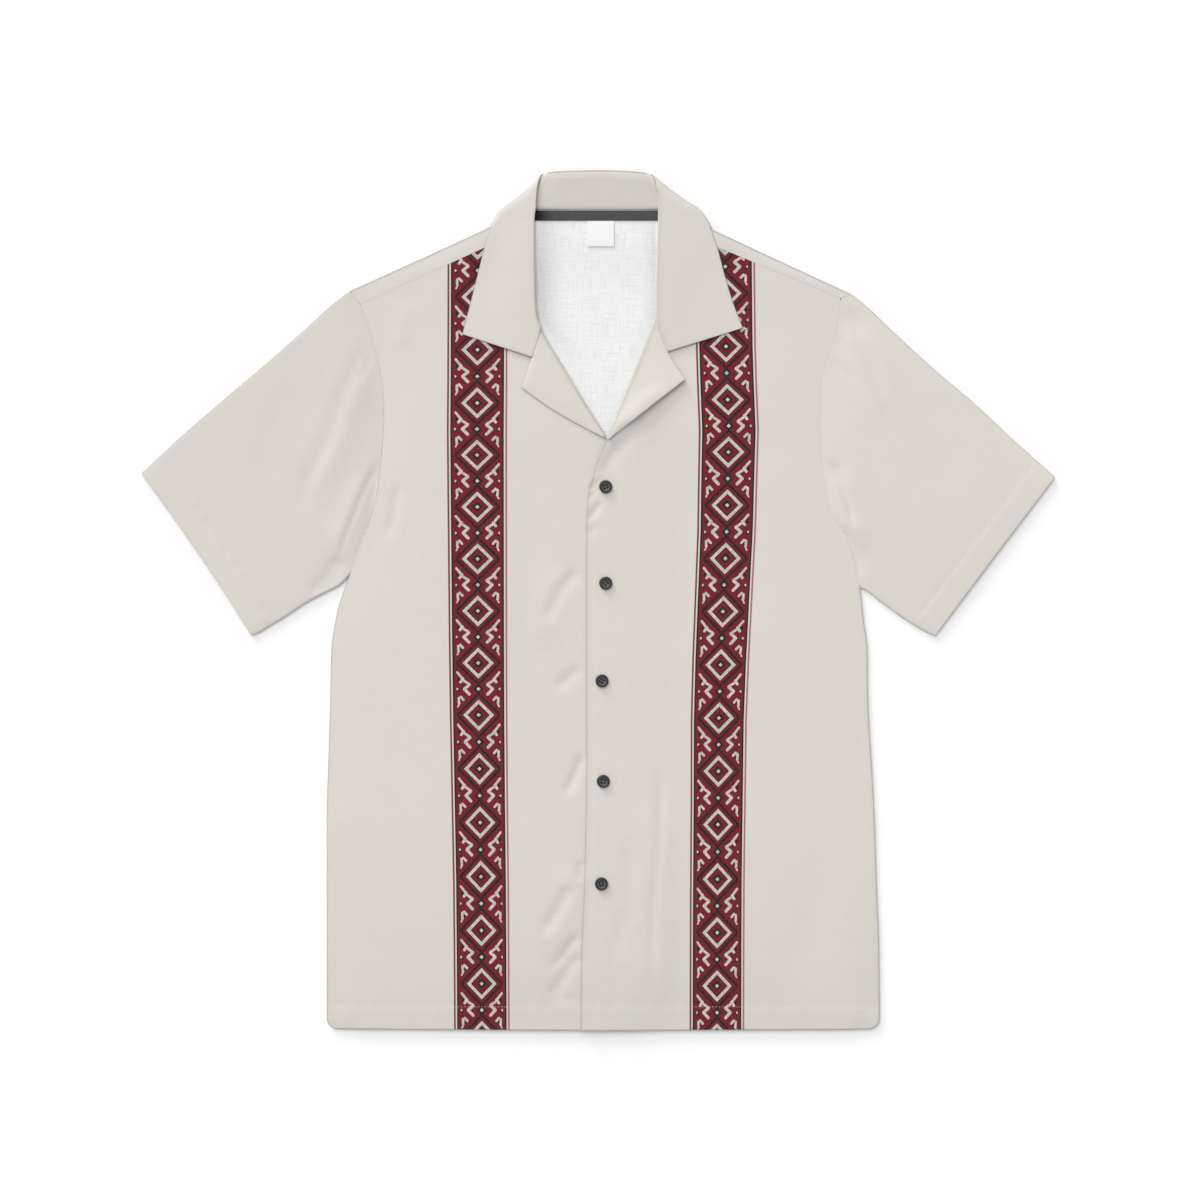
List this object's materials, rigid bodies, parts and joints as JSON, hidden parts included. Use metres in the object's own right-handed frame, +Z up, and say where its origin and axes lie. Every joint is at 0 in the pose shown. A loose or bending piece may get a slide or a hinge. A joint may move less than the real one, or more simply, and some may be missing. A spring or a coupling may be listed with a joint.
{
  "type": "camp shirt",
  "caption": "Short-sleeved camp shirt laid flat and buttoned, with a notched open collar, straight hem and printed cross-stitch bands down the front.",
  "frame": {"origin": "centre of the footprint, on the surface that the shirt lies on", "axes": "+X to the wearer's left, +Y from hem to collar, +Z up out of the front"},
  "size_m": [0.8418, 0.7916, 0.0098],
  "materials": {
    "cloth": "matt cream linen-look weave, white on the inside",
    "cloth_banded": "the same cream weave with a printed cross-stitch band in dark red, white and green-black",
    "tape": "matt charcoal twill tape",
    "label": "smooth white satin label, blank",
    "button": "glossy black"
  },
  "bodies": {
    "root": {"back": "cloth", "right_front": "cloth_banded", "left_front": "cloth_banded", "right_sleeve": "cloth", "left_sleeve": "cloth", "collar": "cloth", "neck_tape": "tape", "care_label": "label", "button_1": "button", "button_2": "button", "button_3": "button", "button_4": "button", "button_5": "button"}
  },
  "joints": []
}
